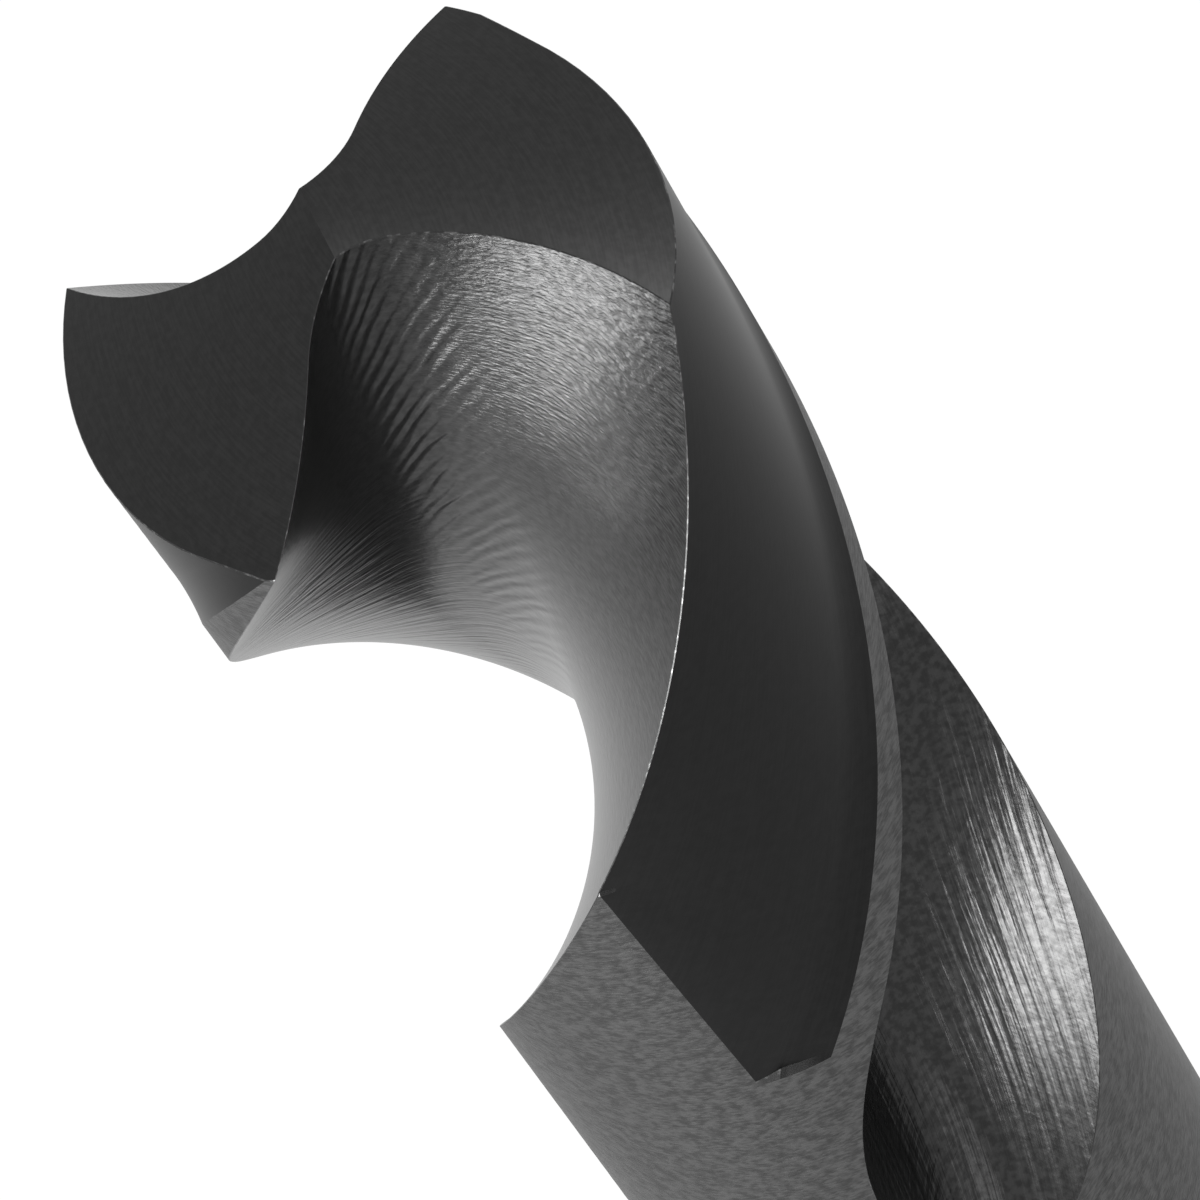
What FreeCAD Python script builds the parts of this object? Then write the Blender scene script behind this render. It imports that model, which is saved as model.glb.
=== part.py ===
"""Twist drill bit, stub length, two flutes, right-hand helix and right-hand cut.

One solid of high-speed steel. It stands on its shank end with the point up: the origin is the
centre of the shank's end face, +Z runs along the drill's axis to the point, and millimetres are used.
Depths are measured from the point's tip, down the axis. Angles are seen from the point, and a feature
of the helix turns clockwise, to smaller angles, as it goes deeper.
"""
import FreeCAD
import Part
import math
import os

from FreeCAD import Vector

# The blank: a round bar, full size at the point. The body has a slight back taper down to the shank.
drill_diameter = 20.0
shank_diameter = 19.95
overall_length = 131.0
shank_chamfer = 1.0

# The flutes, in the section across the axis: a lip wall, a valley round the web and a heel wall.
helix_angle = 29.65
flute_length = 66.0
flute_angle = 96.0
web_thickness = 2.65
web_taper = 0.015
lip_wall_radius = 120.0
valley_radius = 4.2
valley_direction = 45.0
heel_wall_radius = 14.5

# The run-out: the cutter lifts out of the bar on the arc of its own radius.
cutter_radius = 24.0
lift_direction = 75.0

# The point: each flank is part of a cone whose upright axis stands ahead of its lip, past the middle.
grind_cone_angle = 123.6
grind_cone_offset = 7.66
grind_cone_direction = 129.7

# The land: a narrow margin keeps the full size, and behind it the rest is ground away, most at first.
margin_width = 1.85
margin_start_widths = (1.0, 0.3)
margin_settling = 6.0
clearance_at_margin = 0.23
clearance_at_heel = 0.07
clearance_blend = 1.85
clearance_length = 44.5
clearance_wheel_width = 16.4
clearance_edge_tilt = 2.9

# Modelling values: how far cutters reach past the bar, and the spacing of the sections.
overshoot = 5.0
wall_overrun = 1.5
section_step = 5.0
runout_step = 2.5
lip_points = 4
valley_points = 5
heel_points = 5
floor_points = 5

radius = drill_diameter / 2.0
lead = math.pi * drill_diameter / math.tan(math.radians(helix_angle))
flute_depth = radius - (web_thickness + web_taper * flute_length) / 2.0
lift_start = flute_length - math.sqrt(cutter_radius ** 2 - max(cutter_radius - flute_depth, 0.0) ** 2)
cone_span = math.sqrt(
    radius ** 2
    + grind_cone_offset ** 2
    - 2.0 * radius * grind_cone_offset * math.cos(math.radians(grind_cone_direction))
)
corner_depth = (cone_span - grind_cone_offset) / math.tan(math.radians(grind_cone_angle / 2.0))


def twist(depth):
    """Angle in degrees that the helix has turned by at a depth."""
    return -360.0 * depth / lead


def polar(distance, degrees):
    """Point of the plane across the axis, as a pair."""
    angle = math.radians(degrees)
    return distance * math.cos(angle), distance * math.sin(angle)


def placed(point, degrees, depth):
    """Point of a section turned about the axis and set at its depth below the tip."""
    angle = math.radians(degrees)
    x = point[0] * math.cos(angle) - point[1] * math.sin(angle)
    y = point[0] * math.sin(angle) + point[1] * math.cos(angle)
    return Vector(x, y, overall_length - depth)


def tangent_centre(corner, wall_radius, valley_centre, side):
    """Centre of a wall's arc that ends at its corner and runs smoothly into the valley's arc."""
    dx = valley_centre[0] - corner[0]
    dy = valley_centre[1] - corner[1]
    gap = math.hypot(dx, dy)
    reach = wall_radius - valley_radius
    along = (wall_radius ** 2 - reach ** 2 + gap ** 2) / (2.0 * gap)
    off = side * math.sqrt(max(wall_radius ** 2 - along ** 2, 0.0))
    return (corner[0] + (along * dx - off * dy) / gap, corner[1] + (along * dy + off * dx) / gap)


def arc_points(centre, distance, start, end, count):
    """Evenly spaced points of an arc, from a start angle to an end angle in degrees."""
    points = []
    for index in range(count):
        x, y = polar(distance, start + (end - start) * index / (count - 1))
        points.append((centre[0] + x, centre[1] + y))
    return points


def direction(start, end):
    """Angle in degrees, from 0 to 360, of the line from one point to another."""
    return math.degrees(math.atan2(end[1] - start[1], end[0] - start[0])) % 360.0


def flute_walls(depth):
    """The lip wall, valley and heel wall of one flute, with the lip's corner on +X."""
    half_web = (web_thickness + web_taper * depth) / 2.0
    valley_centre = polar(half_web + valley_radius, valley_direction)
    lip_corner = (radius, 0.0)
    heel_corner = polar(radius, flute_angle)
    lip_centre = tangent_centre(lip_corner, lip_wall_radius, valley_centre, -1.0)
    heel_centre = tangent_centre(heel_corner, heel_wall_radius, valley_centre, 1.0)
    lip_join = direction(lip_centre, valley_centre)
    heel_join = direction(heel_centre, valley_centre)
    lip_start = direction(lip_centre, lip_corner) + math.degrees(wall_overrun / lip_wall_radius)
    heel_end = direction(heel_centre, heel_corner) - math.degrees(wall_overrun / heel_wall_radius)
    lip = arc_points(lip_centre, lip_wall_radius, lip_start, lip_join, lip_points)
    valley = arc_points(valley_centre, valley_radius, lip_join, heel_join, valley_points)
    heel = arc_points(heel_centre, heel_wall_radius, heel_join, heel_end, heel_points)
    return lip, valley, heel


def lifted(point, depth):
    """Point of the section after the cutter has lifted: first at the lip, later at the heel."""
    lift_x, lift_y = polar(1.0, lift_direction)
    across = point[1] * lift_x - point[0] * lift_y
    past = depth - lift_start - across * math.sin(math.radians(helix_angle))
    if past <= 0.0:
        return point
    lift = past ** 2 / (2.0 * cutter_radius) + past ** 4 / (8.0 * cutter_radius ** 3)
    return point[0] + lift * lift_x, point[1] + lift * lift_y


def smooth_edge(nodes):
    """Smooth curve through points, with even parameters so that all sections have the same knots."""
    curve = Part.BSplineCurve()
    curve.interpolate(Points=nodes, Parameters=[float(index) for index in range(len(nodes))])
    return curve.toShape()


def flute_section(depth, turn):
    """Closed wire of the flute's cutter across the axis at a depth."""
    lip, valley, heel = flute_walls(depth)
    outside = radius + overshoot
    corners = [heel[-1], (heel[-1][0], outside), (outside, outside), (outside, 0.0), lip[0]]
    edges = []
    for wall in (lip, valley, heel):
        edges.append(smooth_edge([placed(lifted(point, depth), turn + twist(depth), depth) for point in wall]))
    nodes = [placed(lifted(point, depth), turn + twist(depth), depth) for point in corners]
    for start, end in zip(nodes, nodes[1:]):
        edges.append(Part.LineSegment(start, end).toShape())
    return Part.Wire(edges)


def depths(start, middle, end):
    """Section depths: even steps to the run-out, and finer ones along it."""
    count = math.ceil((middle - start) / section_step)
    body = [start + (middle - start) * index / count for index in range(count)]
    count = math.ceil((end - middle) / runout_step)
    return body + [middle + (end - middle) * index / count for index in range(count + 1)]


def flute_cutter(turn):
    """The space that one flute takes out of the bar, from above the point to past its run-out."""
    stations = depths(-overshoot, lift_start - radius / 2.0, flute_length + overshoot)
    return Part.makeLoft([flute_section(depth, turn) for depth in stations], True, False)


def margin_edge(depth, start_width):
    """Angle in degrees behind the lip of the margin's back edge: it widens to its full width with depth."""
    past = max(depth - corner_depth, 0.0)
    width = margin_width - (margin_width - start_width) * math.exp(-past / margin_settling)
    return math.degrees(width / radius)


def clearance_section(depth, turn, start_width):
    """Closed wire of the land's clearance: a slope down from the margin, then an eccentric floor."""
    slope = math.degrees(clearance_blend / radius)
    front = -margin_edge(depth, start_width)
    heel = flute_angle - 180.0
    angle = turn + twist(depth)
    outside = radius + overshoot
    far_outside = 2.0 * outside
    floor_start = front - slope
    floor_end = heel - slope
    floor = []
    for index in range(floor_points):
        share = index / (floor_points - 1)
        clearance = clearance_at_margin + (clearance_at_heel - clearance_at_margin) * share
        mark = polar(radius - clearance, floor_start + (floor_end - floor_start) * share)
        floor.append(placed(mark, angle, depth))
    outer_front = placed(polar(outside, front + slope), angle, depth)
    outer_middle = placed(polar(far_outside, (front + floor_end) / 2.0), angle, depth)
    outer_end = placed(polar(outside, floor_end), angle, depth)
    edge = polar(radius, front)
    foot = polar(radius - clearance_at_margin, floor_start)
    slope_top = placed((2.0 * edge[0] - foot[0], 2.0 * edge[1] - foot[1]), angle, depth)
    corners = [floor[-1], outer_end, outer_middle, outer_front, slope_top, floor[0]]
    edges = [smooth_edge(floor)]
    for start, end in zip(corners, corners[1:]):
        edges.append(Part.LineSegment(start, end).toShape())
    return Part.Wire(edges)


def clearance_cutter(turn, start_width):
    """The clearance behind one margin: it stops square, with the wheel's straight print on the land."""
    count = math.ceil((clearance_length + overshoot) / section_step)
    step = (clearance_length + overshoot) / count
    stations = [-overshoot + step * index for index in range(count + 1)]
    sections = [clearance_section(depth, turn, start_width) for depth in stations]
    band = Part.makeLoft(sections, True, False)
    print_start = clearance_length - clearance_wheel_width
    edge_angle = turn + twist(print_start) + flute_angle - 180.0
    reach = 2.0 * (radius + overshoot)
    kept = Part.makeBox(2.0 * reach, reach, 4.0 * overall_length, Vector(-reach, 0.0, -overall_length))
    kept.rotate(Vector(0, 0, 0), Vector(0, 0, 1), edge_angle)
    edge_x, edge_y = polar(1.0, edge_angle)
    pivot = Vector(0, 0, overall_length - print_start)
    kept.rotate(pivot, Vector(edge_x, edge_y, 0), clearance_edge_tilt)
    return band.common(kept)


def flank_cutter(turn):
    """The space above one flank: a cone that passes through the tip and falls towards the lip and the heel."""
    fall = 1.0 / math.tan(math.radians(grind_cone_angle / 2.0))
    axis_angle = turn + twist(corner_depth) + grind_cone_direction
    axis_x, axis_y = polar(grind_cone_offset, axis_angle)
    apex = overall_length + fall * grind_cone_offset
    reach = grind_cone_offset + radius + overshoot
    top = apex + overshoot
    profile = [
        Vector(axis_x, axis_y, apex),
        Vector(axis_x + reach, axis_y, apex - fall * reach),
        Vector(axis_x + reach, axis_y, top),
        Vector(axis_x, axis_y, top),
        Vector(axis_x, axis_y, apex),
    ]
    face = Part.Face(Part.makePolygon(profile))
    return face.revolve(Vector(axis_x, axis_y, 0), Vector(0, 0, 1), 360)


def blank():
    """The bar: a chamfered shank, and a body that widens by the back taper up to the point."""
    shank_radius = shank_diameter / 2.0
    shank_length = overall_length - flute_length
    shank = Part.makeCone(shank_radius - shank_chamfer, shank_radius, shank_chamfer)
    straight = Part.makeCylinder(shank_radius, shank_length - shank_chamfer, Vector(0, 0, shank_chamfer))
    body = Part.makeCone(shank_radius, radius, flute_length, Vector(0, 0, shank_length))
    return shank.fuse([straight, body])


def twist_drill():
    """The whole drill: the bar with its clearances, flutes and flanks ground away."""
    drill = blank()
    for turn, start_width in zip((0.0, 180.0), margin_start_widths):
        drill = drill.cut(clearance_cutter(turn, start_width))
        drill = drill.cut(flute_cutter(turn))
        drill = drill.cut(flank_cutter(turn))
    return drill


os.makedirs("parts", exist_ok=True)
shape = twist_drill()
print("solids", len(shape.Solids), "valid", shape.isValid(), "volume mm3", round(shape.Volume, 1))
shape.Solids[0].exportStep("parts/twist_drill.step")
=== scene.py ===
"""Twist drill bit of black-oxide steel: its milled flutes, ground lands and ground point, in studio light."""
import math

import bpy
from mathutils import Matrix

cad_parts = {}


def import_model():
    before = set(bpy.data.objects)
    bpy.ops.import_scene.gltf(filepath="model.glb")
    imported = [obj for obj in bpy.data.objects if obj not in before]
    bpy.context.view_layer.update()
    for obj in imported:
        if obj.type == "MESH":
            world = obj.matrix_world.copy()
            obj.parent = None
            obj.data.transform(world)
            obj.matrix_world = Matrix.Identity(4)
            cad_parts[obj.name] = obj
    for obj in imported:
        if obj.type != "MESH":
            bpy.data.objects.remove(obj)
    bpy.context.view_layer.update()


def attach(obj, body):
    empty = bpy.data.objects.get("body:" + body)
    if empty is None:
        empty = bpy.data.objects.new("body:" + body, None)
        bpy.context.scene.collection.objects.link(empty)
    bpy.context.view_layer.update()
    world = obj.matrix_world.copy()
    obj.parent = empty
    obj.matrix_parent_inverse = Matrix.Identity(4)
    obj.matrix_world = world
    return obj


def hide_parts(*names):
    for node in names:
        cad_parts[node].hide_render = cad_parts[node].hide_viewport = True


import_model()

# Camera.
# A long lens looks down at the point, 31 degrees off the drill's axis, with the shank running out of view.
camera_data = bpy.data.cameras.new("camera")
camera_data.lens = 287.318
camera_data.sensor_width = 36.0
camera = bpy.data.objects.new("camera", camera_data)
camera.location = (-0.139779, -0.080938, 0.372048)
camera.rotation_euler = [math.radians(angle) for angle in (26.71764, 16.34581, -89.47444)]
bpy.context.scene.collection.objects.link(camera)
bpy.context.scene.camera = camera
bpy.context.scene.view_settings.view_transform = "Standard"

# Bar.
# The drill is one round bar of high-speed steel with a chamfered shank, and its fluted body tapers back by a
# hair. Sizes are in millimetres and degrees, the same as the solid's. Depths go from the tip down the axis.
MM = 0.001
radius = 10.0
shank_radius = 9.975
overall_length = 131.0
shank_chamfer = 1.0
flute_length = 66.0


def body_radius(depth):
    """Radius of the bar, with the body's back taper."""
    return radius - (radius - shank_radius) * min(max(depth, 0.0) / flute_length, 1.0)


# Flutes.
# Each is milled along the helix with a form cutter, which lifts out at the end of its cut. The section is
# three arcs in a row: the lip wall, the valley round the web and the heel wall, with the lip's corner on +X.
helix_angle = 29.65
lead = math.pi * 2.0 * radius / math.tan(math.radians(helix_angle))
flute_angle = 96.0
web_thickness = 2.65
web_taper = 0.015
lip_wall_radius = 120.0
valley_radius = 4.2
valley_direction = 45.0
heel_wall_radius = 14.5
wall_overrun = 1.5
cutter_radius = 24.0
lift_direction = 75.0
flute_depth = radius - (web_thickness + web_taper * flute_length) / 2.0
lift_start = flute_length - math.sqrt(cutter_radius ** 2 - (cutter_radius - flute_depth) ** 2)
section_steps, narrowings, halvings = 48, 30, 34


def polar(distance, degrees):
    """Point of the plane across the axis."""
    angle = math.radians(degrees)
    return distance * math.cos(angle), distance * math.sin(angle)


def twist(depth):
    """Angle that the helix has turned by at a depth."""
    return -360.0 * depth / lead


def direction(start, end):
    """Angle from 0 to 360 of the line between two points."""
    return math.degrees(math.atan2(end[1] - start[1], end[0] - start[0])) % 360.0


def tangent_centre(corner, wall_radius, valley_centre, side):
    """Centre of a wall's arc that ends at its corner and runs smoothly into the valley's arc."""
    dx, dy = valley_centre[0] - corner[0], valley_centre[1] - corner[1]
    gap = math.hypot(dx, dy)
    reach = wall_radius - valley_radius
    along = (wall_radius ** 2 - reach ** 2 + gap ** 2) / (2.0 * gap)
    off = side * math.sqrt(wall_radius ** 2 - along ** 2)
    return corner[0] + (along * dx - off * dy) / gap, corner[1] + (along * dy + off * dx) / gap


def flute_arcs(depth):
    """The section's arcs at a depth: centre, radius, start angle, end angle and length of each."""
    half_web = (web_thickness + web_taper * depth) / 2.0
    valley_centre = polar(half_web + valley_radius, valley_direction)
    lip_corner, heel_corner = (radius, 0.0), polar(radius, flute_angle)
    lip_centre = tangent_centre(lip_corner, lip_wall_radius, valley_centre, -1.0)
    heel_centre = tangent_centre(heel_corner, heel_wall_radius, valley_centre, 1.0)
    lip_join = direction(lip_centre, valley_centre)
    heel_join = direction(heel_centre, valley_centre)
    lip_start = direction(lip_centre, lip_corner) + math.degrees(wall_overrun / lip_wall_radius)
    heel_end = direction(heel_centre, heel_corner) - math.degrees(wall_overrun / heel_wall_radius)
    arcs = []
    for centre, size, start, end in (
        (lip_centre, lip_wall_radius, lip_start, lip_join),
        (valley_centre, valley_radius, lip_join, heel_join),
        (heel_centre, heel_wall_radius, heel_join, heel_end),
    ):
        arcs.append((centre, size, start, end, math.radians(abs(end - start)) * size))
    return arcs


def flute_point(arcs, depth, length):
    """Point of the section at a length along it, after the cutter's lift at the run-out."""
    for centre, size, start, end, span in arcs:
        if length <= span or size == heel_wall_radius:
            break
        length -= span
    x, y = polar(size, start + (end - start) * length / span)
    x, y = centre[0] + x, centre[1] + y
    lift_x, lift_y = polar(1.0, lift_direction)
    past = depth - lift_start - (y * lift_x - x * lift_y) * math.sin(math.radians(helix_angle))
    if past > 0.0:
        lift = past ** 2 / (2.0 * cutter_radius) + past ** 4 / (8.0 * cutter_radius ** 3)
        x, y = x + lift * lift_x, y + lift * lift_y
    return x, y


def deepest(arcs, depth):
    """Length along the section at which it comes nearest to the axis, and that distance."""
    total = sum(arc[4] for arc in arcs)
    step = total / section_steps
    lengths = [total * index / section_steps for index in range(section_steps + 1)]
    best = min(lengths, key=lambda length: math.hypot(*flute_point(arcs, depth, length)))
    low, high = max(best - step, 0.0), min(best + step, total)
    for _ in range(narrowings):
        first, second = low + (high - low) / 3.0, high - (high - low) / 3.0
        if math.hypot(*flute_point(arcs, depth, first)) < math.hypot(*flute_point(arcs, depth, second)):
            high = second
        else:
            low = first
    return low, math.hypot(*flute_point(arcs, depth, low))


def halving(inside, outside, is_out):
    """Place between two values where a test turns true."""
    for _ in range(halvings):
        middle = (inside + outside) / 2.0
        if is_out(middle):
            outside = middle
        else:
            inside = middle
    return inside


def runs_out(depth):
    """True where the lifted section no longer reaches the bar."""
    return deepest(flute_arcs(depth), depth)[1] > body_radius(depth)


run_out_depth = halving(lift_start + 5.0, flute_length + 8.0, runs_out)


# Point.
# Each half is ground on a cone whose axis stands off from the drill's, so that the flank falls away behind
# its lip. The two flanks meet in the chisel edge.
grind_cone_angle = 123.6
grind_cone_offset = 7.66
grind_cone_direction = 129.7
cone_fall = 1.0 / math.tan(math.radians(grind_cone_angle / 2.0))
cone_span = math.sqrt(
    radius ** 2 + grind_cone_offset ** 2
    - 2.0 * radius * grind_cone_offset * math.cos(math.radians(grind_cone_direction))
)
corner_depth = (cone_span - grind_cone_offset) * cone_fall


def grind_axis(turn):
    """Place of the grinding cone's axis for one half of the point."""
    return polar(grind_cone_offset, turn + twist(corner_depth) + grind_cone_direction)


def tip_depth(x, y):
    """Depth of the point's surface: the lower of the two cones, seen from above."""
    deep = -1e9
    for turn in (0, 180):
        axis = grind_axis(turn)
        deep = max(deep, (math.hypot(x - axis[0], y - axis[1]) - grind_cone_offset) * cone_fall)
    return deep


# Lands.
# Each keeps a narrow cylindrical margin behind its lip. The rest is ground down by a wheel, which leaves a
# slanted print where its cut ends. Every edge of the drill is only just broken.
margin_width = 1.85
margin_start_widths = {0: 1.0, 180: 0.3}
margin_settling = 6.0
clearance_at_margin = 0.23
clearance_at_heel = 0.07
clearance_blend = 1.85
clearance_length = 44.5
clearance_wheel_width = 16.4
clearance_edge_tilt = 2.9
print_start = clearance_length - clearance_wheel_width
print_lead_in = 0.2
print_shoulder = 0.34
edge_break = 0.035


def print_fill(depth):
    """Share of the print's edge that has come up to the bar at a depth, over a short lead-in."""
    return min(max((depth - print_start) / print_lead_in, 0.0), 1.0)


def margin_angle(depth, start_width):
    """Angle that the margin spans behind the lip: it widens with depth to its full width."""
    past = max(depth - corner_depth, 0.0)
    width = margin_width - (margin_width - start_width) * math.exp(-past / margin_settling)
    return math.degrees(width / radius)


def floor_radius(behind, depth, start_width):
    """Distance from the axis of the cleared land, at an angle behind the lip."""
    start = -margin_angle(depth, start_width) - math.degrees(clearance_blend / radius)
    end = flute_angle - 180.0 - math.degrees(clearance_blend / radius)
    share = (start - behind) / (start - end)
    return radius - clearance_at_margin - (clearance_at_heel - clearance_at_margin) * share


flute_memory = {}


def flute_limits(depth, heel_start_width):
    """The section's arcs at a depth, and the lengths along it at the lip's and the heel's edge."""
    key = (round(depth, 7), heel_start_width)
    if key not in flute_memory:
        arcs = flute_arcs(depth)
        bar = body_radius(depth)
        middle, nearest = deepest(arcs, depth)
        if nearest >= bar:
            flute_memory[key] = (arcs, middle, middle)
            return flute_memory[key]
        filled = print_fill(depth)

        def past_lip(length):
            return math.hypot(*flute_point(arcs, depth, length)) > bar

        def past_heel(length):
            x, y = flute_point(arcs, depth, length)
            behind = math.degrees(math.atan2(y, x)) - 180.0
            low = min(floor_radius(behind, depth, heel_start_width), bar)
            return math.hypot(x, y) > low + (bar - low) * filled

        total = sum(arc[4] for arc in arcs)
        flute_memory[key] = (arcs, halving(middle, 0.0, past_lip), halving(middle, total, past_heel))
    return flute_memory[key]


# Sides.
# The flutes and lands are one skin. Its columns run down them in their fixed order round the drill, and its
# rows are depths, closer together at the rim and at the run-out.
flute_half = 34
wedge_steps, floor_steps, slope_steps, margin_steps = 24, 20, 6, 5
top_depth, top_rows, top_crowding = 9.0, 22, 1.15
row_step = 0.3
run_out_zone, run_out_rows = 3.0, 24
shank_rows = 24


def turned(point, degrees):
    """Point turned about the axis."""
    angle = math.radians(degrees)
    cos, sin = math.cos(angle), math.sin(angle)
    return point[0] * cos - point[1] * sin, point[0] * sin + point[1] * cos


def flute_xy(turn, share, depth):
    """Point of a flute at a share of its width, with its length across the section."""
    heel_start_width = margin_start_widths[(turn + 180) % 360]
    arcs, lip, heel = flute_limits(depth, heel_start_width)
    inset = min(edge_break, 0.2 * (heel - lip))
    length = lip + inset + (heel - lip - 2.0 * inset) * share
    x, y = turned(flute_point(arcs, depth, length), twist(depth) + turn)
    return x, y, length


def on_tip(place):
    """Depth at which a column meets the point's surface."""
    return halving(-1.0, top_depth, lambda depth: depth > tip_depth(*place(depth)[:2]))


def rim_of_flute(turn, share):
    """Point of a flute's edge against the point's surface."""
    depth = on_tip(lambda at: flute_xy(turn, share, at))
    x, y, _ = flute_xy(turn, share, depth)
    return x, y, depth


def crest_share():
    """Share of a flute's section at which the crest between the two flanks crosses it."""
    axis = grind_axis(0)

    def before(share):
        x, y, _ = rim_of_flute(0, share)
        return x * axis[0] + y * axis[1] < 0.0

    low, high = 0.2, 0.8
    side = before(low)
    return halving(low, high, lambda share: before(share) != side)


crest = crest_share()
flute_shares = [crest * index / flute_half for index in range(flute_half)]
flute_shares += [crest + (1.0 - crest) * index / flute_half for index in range(flute_half + 1)]


def land_marks(turn, depth):
    """Columns of a cleared land from heel to lip: angle behind the lip and distance from the axis."""
    start_width = margin_start_widths[turn]
    bar = body_radius(depth)
    arcs, lip, _ = flute_limits(depth, margin_start_widths[(turn + 180) % 360])
    _, _, heel = flute_limits(depth, start_width)
    lip_x, lip_y = flute_point(arcs, depth, lip)
    heel_x, heel_y = flute_point(arcs, depth, heel)
    inset = math.degrees(edge_break / radius)
    lip_angle = math.degrees(math.atan2(lip_y, lip_x)) - inset
    heel_angle = math.degrees(math.atan2(heel_y, heel_x)) - 180.0 + inset
    tilt = (depth - print_start) * math.tan(math.radians(clearance_edge_tilt))
    print_angle = flute_angle - 180.0 + twist(print_start) - twist(depth)
    print_angle += math.degrees(math.asin(max(min(tilt / bar, 1.0), -1.0)))
    print_angle = max(print_angle, heel_angle)
    filled = print_fill(depth)
    marks = []
    for index in range(wedge_steps + 1):
        behind = heel_angle + (print_angle - heel_angle) * index / wedge_steps
        low = min(floor_radius(behind, depth, start_width), bar)
        marks.append((behind, low + (bar - low) * filled))
    front = -margin_angle(depth, start_width)
    foot = front - math.degrees(clearance_blend / radius)
    ramp_steps = 1.0 + (floor_steps - 1.0) * max(depth - print_start, 0.0) / clearance_wheel_width
    for index in range(floor_steps):
        behind = print_angle + (foot - print_angle) * index / floor_steps
        low = min(floor_radius(behind, depth, start_width), bar)
        rise = max(1.0 - index / ramp_steps, 0.0) * filled
        marks.append((behind, low + (bar - low) * rise))
    low, high = polar(radius - clearance_at_margin, foot), polar(bar, front)
    for index in range(slope_steps):
        share = index / slope_steps
        x, y = low[0] + (high[0] - low[0]) * share, low[1] + (high[1] - low[1]) * share
        marks.append((math.degrees(math.atan2(y, x)), min(math.hypot(x, y), bar)))
    for index in range(margin_steps + 1):
        marks.append((front + (lip_angle - front) * index / margin_steps, bar))
    return marks


full_shares = {}
for turn in (0, 180):
    marks = land_marks(turn, clearance_length)
    width = marks[-1][0] - marks[0][0]
    full_shares[turn] = [(behind - marks[0][0]) / width for behind, _ in marks]
land_columns = len(full_shares[0])


def land_xy(turn, index, depth, cleared):
    """Point of a land's column, with its length behind the lip."""
    if cleared:
        behind, distance = land_marks(turn, depth)[index]
    else:
        level = min(depth, run_out_depth)
        marks = land_marks(turn, level)
        behind = marks[0][0] + (marks[-1][0] - marks[0][0]) * full_shares[turn][index]
        distance = body_radius(depth)
    x, y = polar(distance, behind + twist(min(depth, run_out_depth)) + turn)
    return x, y, math.radians(behind) * radius


columns = []
for turn in (0, 180):
    columns += [("flute", turn, index) for index in range(len(flute_shares))]
    columns += [("land", (turn + 180) % 360, index) for index in range(land_columns)]


def column_xy(column, depth, cleared=True):
    """Point of any column at a depth, with its length across the surface."""
    kind, turn, index = column
    if kind == "flute":
        return flute_xy(turn, flute_shares[index], min(depth, run_out_depth))
    return land_xy(turn, index, depth, cleared)


rim_depths = [on_tip(lambda at, column=column: column_xy(column, at)) for column in columns]


# Skin of the sides.
# Points that fall together are one vertex, so that patches join without seams, and faces that shrink to a
# line are left out. Each vertex keeps its place across and along its surface in millimetres.
FLANK, FLUTE, CLEARED, ROUND, EDGE = range(5)
merge_decimals = 5
vertices, places, faces, finishes = [], [], [], []
known = {}


def vertex(x, y, z, across, along):
    """Number of the vertex at a place, new or known."""
    key = tuple(round(value, merge_decimals) for value in (x, y, z))
    if key not in known:
        known[key] = len(vertices)
        vertices.append((x * MM, y * MM, z * MM))
        places.append((across, along, 0.0))
    return known[key]


def face(corners, finish):
    """Face with a finish, without the corners that fall together."""
    ring = [corner for index, corner in enumerate(corners) if corner != corners[index - 1]]
    if len(ring) > 2 and len(set(ring)) == len(ring):
        faces.append(ring)
        finishes.append(finish)


def side_vertex(column, depth, cleared=True):
    """Vertex of a column at a depth."""
    x, y, across = column_xy(column, depth, cleared)
    return vertex(x, y, overall_length - depth, across, depth)


rows = []
for index in range(top_rows + 1):
    share = (index / top_rows) ** top_crowding
    row = []
    for column, rim in zip(columns, rim_depths):
        start = rim + edge_break
        row.append(side_vertex(column, start + (top_depth - start) * share))
    rows.append((top_depth, row))


def add_rows(start, end, cleared, count):
    """Rows at even steps after a depth, as far as another."""
    for index in range(1, count + 1):
        depth = start + (end - start) * index / count
        rows.append((depth, [side_vertex(column, depth, cleared) for column in columns]))


add_rows(top_depth, print_start, True, round((print_start - top_depth) / row_step))
add_rows(print_start, print_start + print_lead_in, True, 2)
cleared_end = clearance_length - print_shoulder
add_rows(print_start + print_lead_in, cleared_end, True, round((cleared_end - print_start) / row_step))
rows.append((clearance_length, [side_vertex(column, clearance_length, False) for column in columns]))
full_rows = round((run_out_depth - clearance_length) / row_step)
add_rows(clearance_length, run_out_depth - run_out_zone, False, full_rows)
for index in range(1, run_out_rows + 1):
    depth = run_out_depth - run_out_zone * (1.0 - index / run_out_rows) ** 2
    rows.append((depth, [side_vertex(column, depth, False) for column in columns]))
shank_depth = overall_length - shank_chamfer
add_rows(run_out_depth, shank_depth, False, shank_rows)


def strip_finish(column, following, depth):
    """Finish of the faces between two neighbouring columns."""
    if column[0] != following[0]:
        return EDGE if depth < run_out_depth else ROUND
    if column[0] == "flute":
        return FLUTE
    index = column[2]
    on_floor = wedge_steps < index < wedge_steps + floor_steps
    # The shoulder where the clearance ends takes the lighter edge colour: a painted highlight for the rounded
    # end of the wheel's cut.
    if on_floor and depth == clearance_length:
        return EDGE
    if depth > clearance_length or index < wedge_steps and depth > print_start:
        return ROUND
    return ROUND if index >= wedge_steps + floor_steps + slope_steps + 1 else CLEARED


for (_, upper), (depth, lower) in zip(rows, rows[1:]):
    for index, column in enumerate(columns):
        after = (index + 1) % len(columns)
        finish = strip_finish(column, columns[after], depth)
        face((upper[after], upper[index], lower[index], lower[after]), finish)

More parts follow.
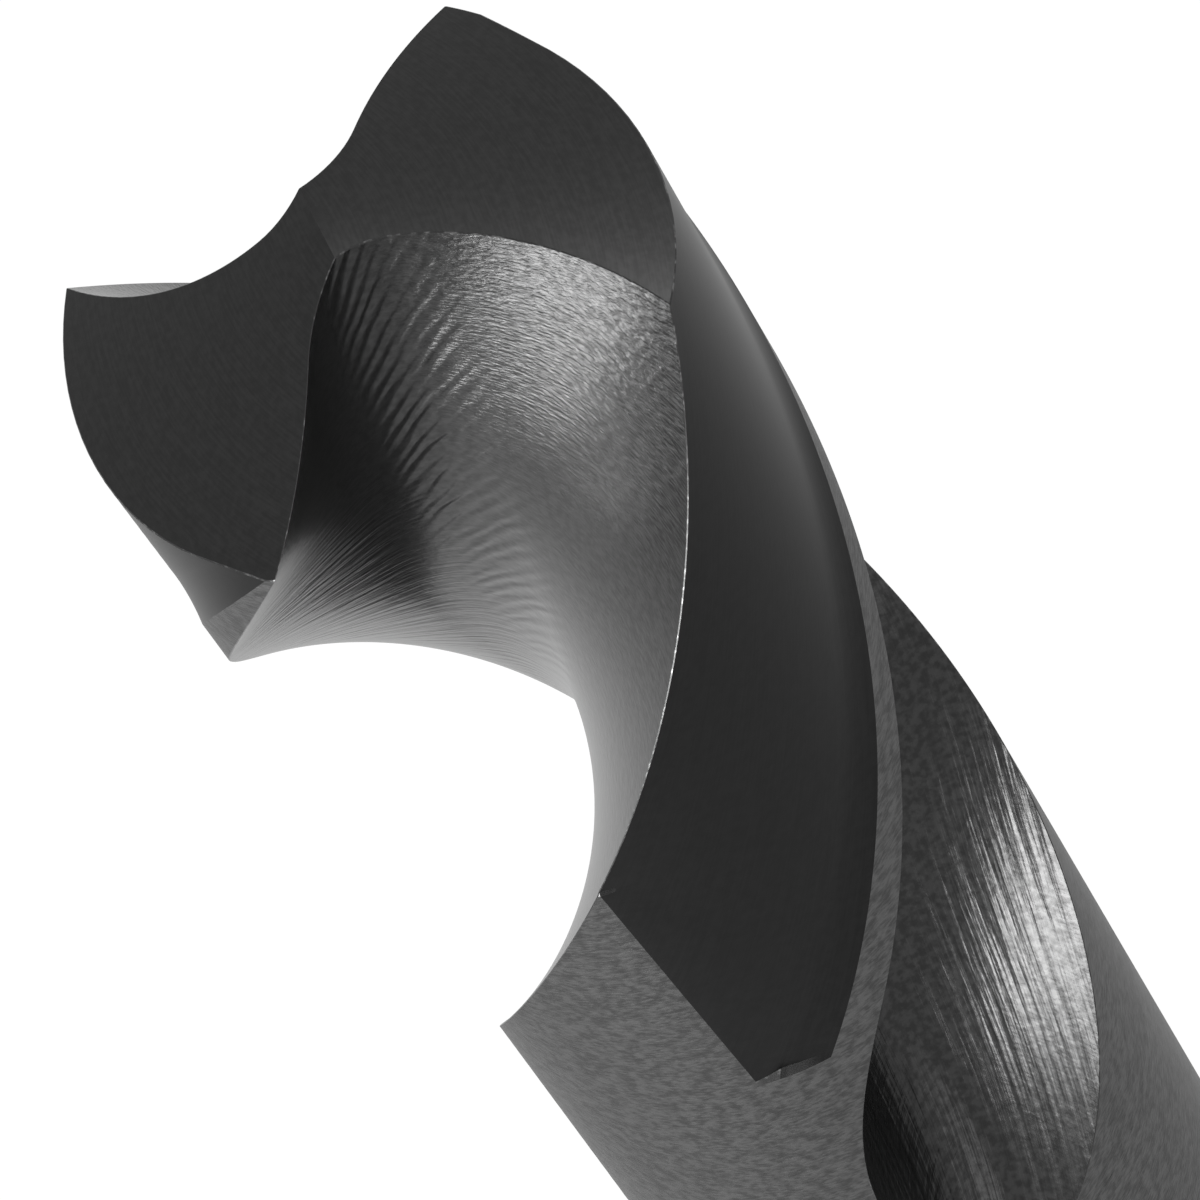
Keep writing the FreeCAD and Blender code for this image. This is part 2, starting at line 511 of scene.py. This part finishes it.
# The shank's chamfer and its flat end close the skin.
end_ring = []
for column in columns:
    x, y, across = column_xy(column, shank_depth, False)
    share = (shank_radius - shank_chamfer) / math.hypot(x, y)
    end_ring.append(vertex(x * share, y * share, 0.0, across, overall_length))
for index in range(len(columns)):
    after = (index + 1) % len(columns)
    face((rows[-1][1][after], rows[-1][1][index], end_ring[index], end_ring[after]), ROUND)
middle = vertex(0.0, 0.0, 0.0, 0.0, overall_length)
for index in range(len(columns)):
    face((end_ring[(index + 1) % len(columns)], end_ring[index], middle), FLANK)

# Flanks.
# The two ground faces of the point. Each is a patch between its lip, the land's rim, the other flute's heel
# wall and the chisel edge, and a narrow broken edge joins it to the sides.
same_place = 1e-4
rim = []
for column, depth in zip(columns, rim_depths):
    rim.append(column_xy(column, depth)[:2])
inner = []


def neighbour(index, step):
    """Nearest point of the rim to one side that isn't in the same place."""
    here, other = rim[index], index
    while math.dist(rim[other], here) < same_place:
        other = (other + step) % len(rim)
    return rim[other]


for index, (x, y) in enumerate(rim):
    before, after = neighbour(index, -1), neighbour(index, 1)
    dx, dy = after[0] - before[0], after[1] - before[1]
    if columns[index][0] == "flute" and columns[index][2] == flute_half:
        dx, dy = -y, x
    size = math.hypot(dx, dy)
    inner.append((x - dy / size * edge_break, y + dx / size * edge_break))


def tip_vertex(x, y, turn):
    """Vertex of the point's surface, with its place round and out from the grinding cone's axis."""
    axis = grind_axis(turn)
    distance = math.hypot(x - axis[0], y - axis[1])
    sweep = math.atan2(y - axis[1], x - axis[0]) - math.atan2(-axis[1], -axis[0])
    sweep = (sweep + math.pi) % (2.0 * math.pi) - math.pi
    return vertex(x, y, overall_length - tip_depth(x, y), distance, sweep * distance)


rim_vertices = [tip_vertex(x, y, 0) for x, y in inner]
for index in range(len(columns)):
    after = (index + 1) % len(columns)
    face((rim_vertices[after], rim_vertices[index], rows[0][1][index], rows[0][1][after]), EDGE)

half_count = len(columns) // 2
for offset, turn in ((0, 180), (half_count, 0)):
    heel_side = [(offset + flute_half + index) % len(columns) for index in range(flute_half + 1)]
    first = offset + 2 * flute_half
    outside = [(first + index) % len(columns) for index in range(land_columns + 2)]
    lip_side = [(offset + half_count + flute_half - index) % len(columns) for index in range(flute_half + 1)]
    lengths = [0.0]
    for index, following in zip(outside, outside[1:]):
        lengths.append(lengths[-1] + math.dist(inner[index], inner[following]))
    shares = [length / lengths[-1] for length in lengths]
    chisel_start, chisel_end = inner[heel_side[0]], inner[lip_side[0]]
    grid = []
    for step in range(flute_half + 1):
        u = step / flute_half
        row = []
        for place, v in enumerate(shares):
            low = [chisel_start[k] + (chisel_end[k] - chisel_start[k]) * v for k in (0, 1)]
            high = inner[outside[place]]
            near, far = inner[heel_side[step]], inner[lip_side[step]]
            flat = []
            for k in (0, 1):
                corners = (1 - u) * ((1 - v) * chisel_start[k] + v * chisel_end[k])
                corners += u * ((1 - v) * inner[outside[0]][k] + v * inner[outside[-1]][k])
                flat.append((1 - v) * near[k] + v * far[k] + (1 - u) * low[k] + u * high[k] - corners)
            row.append(tip_vertex(flat[0], flat[1], turn))
        grid.append(row)
    for lower, upper in zip(grid, grid[1:]):
        for place in range(len(shares) - 1):
            face((lower[place], upper[place], upper[place + 1], lower[place + 1]), FLANK)

sharp_angle = 9.0
mesh = bpy.data.meshes.new("drill")
mesh.from_pydata(vertices, [], faces)
mesh.attributes.new("surface_mm", "FLOAT_VECTOR", "POINT")
flat_places = [value for place in places for value in place]
mesh.attributes["surface_mm"].data.foreach_set("vector", flat_places)
mesh.polygons.foreach_set("material_index", finishes)
mesh.shade_smooth()
mesh.set_sharp_from_angle(angle=math.radians(sharp_angle))
drill = bpy.data.objects.new("drill", mesh)
bpy.context.scene.collection.objects.link(drill)
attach(drill, "root")
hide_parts("twist_drill")


# Finishes.
# The whole drill is steam-tempered: a thin dark oxide on the steel, which reflects weakly, and on the ground
# outside also less at a flat angle than bare steel. Each way of cutting has left its own marks under it.
# The materials follow in the order of the finishes.
def colour(text):
    """Linear colour of an sRGB hex value."""
    values = []
    for start in (0, 2, 4):
        value = int(text[start:start + 2], 16) / 255.0
        values.append(value / 12.92 if value <= 0.04045 else ((value + 0.055) / 1.055) ** 2.4)
    return (*values, 1.0)


def add_node(tree, kind, inputs=None, **settings):
    """Add a node with its settings; inputs are values or the outputs that they are linked to."""
    node = tree.nodes.new(kind)
    for name, value in settings.items():
        setattr(node, name, value)
    for name, value in (inputs or {}).items():
        if isinstance(value, bpy.types.NodeSocket):
            tree.links.new(value, node.inputs[name])
        else:
            node.inputs[name].default_value = value
    return node


def new_finish(name, roughness, edge_tint="FFFFFF"):
    """Oxidised steel with its shader: its roughness, and its tint where it is seen at a flat angle."""
    material = bpy.data.materials.new(name)
    material.use_nodes = True
    tree = material.node_tree
    shader = tree.nodes["Principled BSDF"]
    shader.inputs["Metallic"].default_value = 1.0
    shader.inputs["Roughness"].default_value = roughness
    shader.inputs["Specular Tint"].default_value = colour(edge_tint)
    mesh.materials.append(material)
    return tree, shader


def noise(tree, place, detail):
    """Noise with a grain of one unit of the place that is handed in."""
    settings = {"Vector": place, "Scale": 1.0, "Detail": detail}
    return add_node(tree, "ShaderNodeTexNoise", settings).outputs["Fac"]


def surface_lines(tree, direction, length, width, detail=2.0):
    """Noise drawn out into lines on the surface: their direction in degrees, length and width in mm."""
    place = add_node(tree, "ShaderNodeAttribute", attribute_name="surface_mm").outputs["Vector"]
    turn = (0.0, 0.0, math.radians(direction))
    mapping = {"Vector": place, "Rotation": turn, "Scale": (length, width, 1.0)}
    drawn = add_node(tree, "ShaderNodeMapping", mapping, vector_type="TEXTURE").outputs["Vector"]
    return noise(tree, drawn, detail)


def grain(tree, size, stretch=(1.0, 1.0, 1.0), detail=3.0):
    """Noise in space with a grain size in mm, drawn out by its stretch along each axis."""
    place = add_node(tree, "ShaderNodeTexCoord").outputs["Object"]
    scale = [1.0 / (MM * size * part) for part in stretch]
    drawn = add_node(tree, "ShaderNodeMapping", {"Vector": place, "Scale": scale}).outputs["Vector"]
    return noise(tree, drawn, detail)


def region(tree, *borders):
    """Share of a pattern that shows: each border is a place in mm, where it fades out, where it is full,
    and the least that it fades to."""
    share = 1.0
    for place, out, full, *least in borders:
        limits = {"Value": place, "From Min": out, "From Max": full, "To Min": least[0] if least else 0.0}
        fade = add_node(tree, "ShaderNodeMapRange", limits, interpolation_type="SMOOTHSTEP").outputs["Result"]
        share = add_node(tree, "ShaderNodeMath", {0: share, 1: fade}, operation="MULTIPLY").outputs["Value"]
    return share


def tone(tree, shader, patterns, low, high, dark, light):
    """Colour between two hex tones while the sum of some patterns goes from low to high."""
    total = 0.0
    for pattern in patterns:
        total = add_node(tree, "ShaderNodeMath", {0: pattern, 1: total}, operation="ADD").outputs["Value"]
    limits = {"Value": total, "From Min": low, "From Max": high}
    share = add_node(tree, "ShaderNodeMapRange", limits, interpolation_type="SMOOTHSTEP").outputs["Result"]
    mix = add_node(tree, "ShaderNodeMix", {0: share, 6: colour(dark), 7: colour(light)}, data_type="RGBA")
    tree.links.new(mix.outputs[2], shader.inputs["Base Color"])


def relief(tree, shader, *layers):
    """Bump from layers, each with its pattern, its height in mm and the shares that it shows at."""
    total = 0.0
    for pattern, height, *shares in layers:
        for share in shares:
            both = {0: pattern, 1: share}
            pattern = add_node(tree, "ShaderNodeMath", both, operation="MULTIPLY").outputs["Value"]
        raised = {0: pattern, 1: height, 2: total}
        total = add_node(tree, "ShaderNodeMath", raised, operation="MULTIPLY_ADD").outputs["Value"]
    bump = add_node(tree, "ShaderNodeBump", {"Height": total, "Distance": MM})
    tree.links.new(bump.outputs["Normal"], shader.inputs["Normal"])


# Ground flanks: fine scratches from the wheel round the cone's axis, on an even dark oxide.
tree, shader = new_finish("ground_flank", 0.35)
scratches = surface_lines(tree, 90.0, 1.6, 0.08)
mottle = grain(tree, 0.25)
tone(tree, shader, (scratches, mottle), 0.7, 1.35, "2D2D2D", "333333")
relief(tree, shader, (mottle, 0.0012), (scratches, 0.0012))

# Milled flutes: the cutter's ripples along the valley, strokes on the lip wall, short scratches on the
# heel wall, and deep streaks along the run-out. Ripples follow one another at even steps and wander a bit.
ripple_direction, ripple_spacing, ripple_wander = -48.3, 0.6, 1.1
tree, shader = new_finish("milled_flute", 0.28)
place = add_node(tree, "ShaderNodeAttribute", attribute_name="surface_mm").outputs["Vector"]
parts = add_node(tree, "ShaderNodeSeparateXYZ", {"Vector": place}).outputs
across, along = parts["X"], parts["Y"]
mapping = {"Vector": place, "Rotation": (0.0, 0.0, math.radians(ripple_direction))}
mapping["Scale"] = (1.0, ripple_spacing / (2.0 * math.pi), 1.0)
drawn = add_node(tree, "ShaderNodeMapping", mapping, vector_type="TEXTURE").outputs["Vector"]
step = add_node(tree, "ShaderNodeSeparateXYZ", {"Vector": drawn}).outputs["Y"]
wander = surface_lines(tree, ripple_direction, 3.0, 1.2)
phase = {0: wander, 1: ripple_wander * 2.0 * math.pi, 2: step}
phase = add_node(tree, "ShaderNodeMath", phase, operation="MULTIPLY_ADD").outputs["Value"]
ripples = add_node(tree, "ShaderNodeMath", {0: phase}, operation="SINE").outputs["Value"]
in_valley = region(tree, (across, 8.8, 10.4), (across, 13.8, 11.8), (along, 36.0, 24.0))
strokes = surface_lines(tree, 0.0, 3.0, 0.36, 3.0)
on_lip_wall = region(tree, (across, 11.0, 7.5), (along, 10.0, 17.0))
scratches = surface_lines(tree, 30.0, 0.38, 0.12, 3.0)
on_heel_wall = region(tree, (across, 10.0, 13.0), (along, 16.0, 8.0, 0.1))
streaks = surface_lines(tree, 104.0, 8.0, 0.5, 3.0)
in_run_out = region(tree, (along, 38.0, 46.0))
mottle = grain(tree, 0.3, detail=4.0)
tone(tree, shader, (mottle,), 0.35, 0.65, "2E2E2E", "3A3A3A")
relief(
    tree, shader, (ripples, 0.028, in_valley, wander), (strokes, 0.065, on_lip_wall),
    (scratches, 0.042, on_heel_wall), (streaks, 0.07, in_run_out), (mottle, 0.008),
)

# Ground clearance behind the margins: smooth, with faint lines along the helix.
tree, shader = new_finish("ground_clearance", 0.33, "CCCCCC")
scratches = surface_lines(tree, 90.0, 4.0, 0.12)
mottle = grain(tree, 0.4)
tone(tree, shader, (scratches, mottle), 0.7, 1.3, "202020", "242424")
relief(tree, shader, (mottle, 0.0015), (scratches, 0.001))

# Cylindrically ground full diameter: short marks round the axis, on a mottled oxide.
tree, shader = new_finish("ground_diameter", 0.38, "CCCCCC")
marks = grain(tree, 0.12, stretch=(2.5, 2.5, 1.0))
mottle = grain(tree, 0.5)
tone(tree, shader, (marks, mottle), 0.75, 1.25, "424242", "5A5A5A")
relief(tree, shader, (mottle, 0.008), (marks, 0.022))

# Edges: the oxide is rubbed thin in specks, which catch the light. The lighter colour is partly that wear and
# partly a painted highlight, along the broken edges and on the shoulder where the wheel's print ends.
tree, shader = new_finish("worn_edge_and_painted_highlight", 0.38)
tone(tree, shader, (grain(tree, 0.3),), 0.5, 0.7, "383838", "646464")

# Floor, world and lamps.
# The studio is plain white all round, for the camera and in the metal. The floor takes a tenth of its
# light from the lamps and the world, which keeps the drill's shadow on it. The lamps are strong, because the
# dark oxide sends back only a few hundredths of their light.
floor_reach = 1500.0
lit_share = 0.1
white = {"Color": colour("FFFFFF"), "Strength": 1.0}
floor_mesh = bpy.data.meshes.new("floor")
corners = []
for x, y in ((-1, -1), (1, -1), (1, 1), (-1, 1)):
    corners.append((x * floor_reach * MM, y * floor_reach * MM, 0.0))
floor_mesh.from_pydata(corners, [], [(0, 1, 2, 3)])
floor = bpy.data.objects.new("floor", floor_mesh)
bpy.context.scene.collection.objects.link(floor)

floor_material = bpy.data.materials.new("floor")
floor_material.use_nodes = True
tree = floor_material.node_tree
tree.nodes.clear()
rays = add_node(tree, "ShaderNodeLightPath").outputs
seen = rays["Is Camera Ray"]
for kind in ("Is Glossy Ray", "Is Transmission Ray"):
    seen = add_node(tree, "ShaderNodeMath", {0: seen, 1: rays[kind]}, operation="MAXIMUM").outputs["Value"]
plain = add_node(tree, "ShaderNodeMath", {0: seen, 1: 1.0 - lit_share}, operation="MULTIPLY").outputs["Value"]
light = add_node(tree, "ShaderNodeEmission", white).outputs["Emission"]
matt = add_node(tree, "ShaderNodeBsdfDiffuse", {"Color": colour("FCFCFC")}).outputs["BSDF"]
mixed = add_node(tree, "ShaderNodeMixShader", {0: plain, 1: matt, 2: light}).outputs["Shader"]
add_node(tree, "ShaderNodeOutputMaterial", {"Surface": mixed})
floor_mesh.materials.append(floor_material)

world = bpy.data.worlds.new("studio")
bpy.context.scene.world = world
world.use_nodes = True
tree = world.node_tree
tree.nodes.clear()
sky = add_node(tree, "ShaderNodeBackground", white).outputs["Background"]
add_node(tree, "ShaderNodeOutputWorld", {"Surface": sky})

aim_height = 105.0


def add_lamp(name, azimuth, elevation, distance, width, height, radiance):
    """Soft box aimed at the fluted end, placed by its direction from there; sizes in mm."""
    lamp_data = bpy.data.lights.new(name, "AREA")
    lamp_data.shape = "RECTANGLE"
    lamp_data.size = width * MM
    lamp_data.size_y = height * MM
    lamp_data.energy = radiance * math.pi * width * height * MM ** 2
    lamp = bpy.data.objects.new(name, lamp_data)
    level, rise = polar(distance, elevation)
    x, y = polar(level, azimuth)
    lamp.location = (x * MM, y * MM, (rise + aim_height) * MM)
    lamp.rotation_euler = (math.radians(90.0 - elevation), 0.0, math.radians(azimuth + 90.0))
    lamp.visible_camera = False
    bpy.context.scene.collection.objects.link(lamp)


add_lamp("side_lamp", 159.0, -14.0, 300.0, 220.0, 110.0, 27.0)
add_lamp("low_side_lamp", 126.0, -29.0, 250.0, 120.0, 70.0, 11.0)
add_lamp("high_lamp", -57.0, 49.0, 300.0, 70.0, 70.0, 18.0)
add_lamp("fill_lamp", -122.0, 5.0, 300.0, 110.0, 110.0, 2.0)
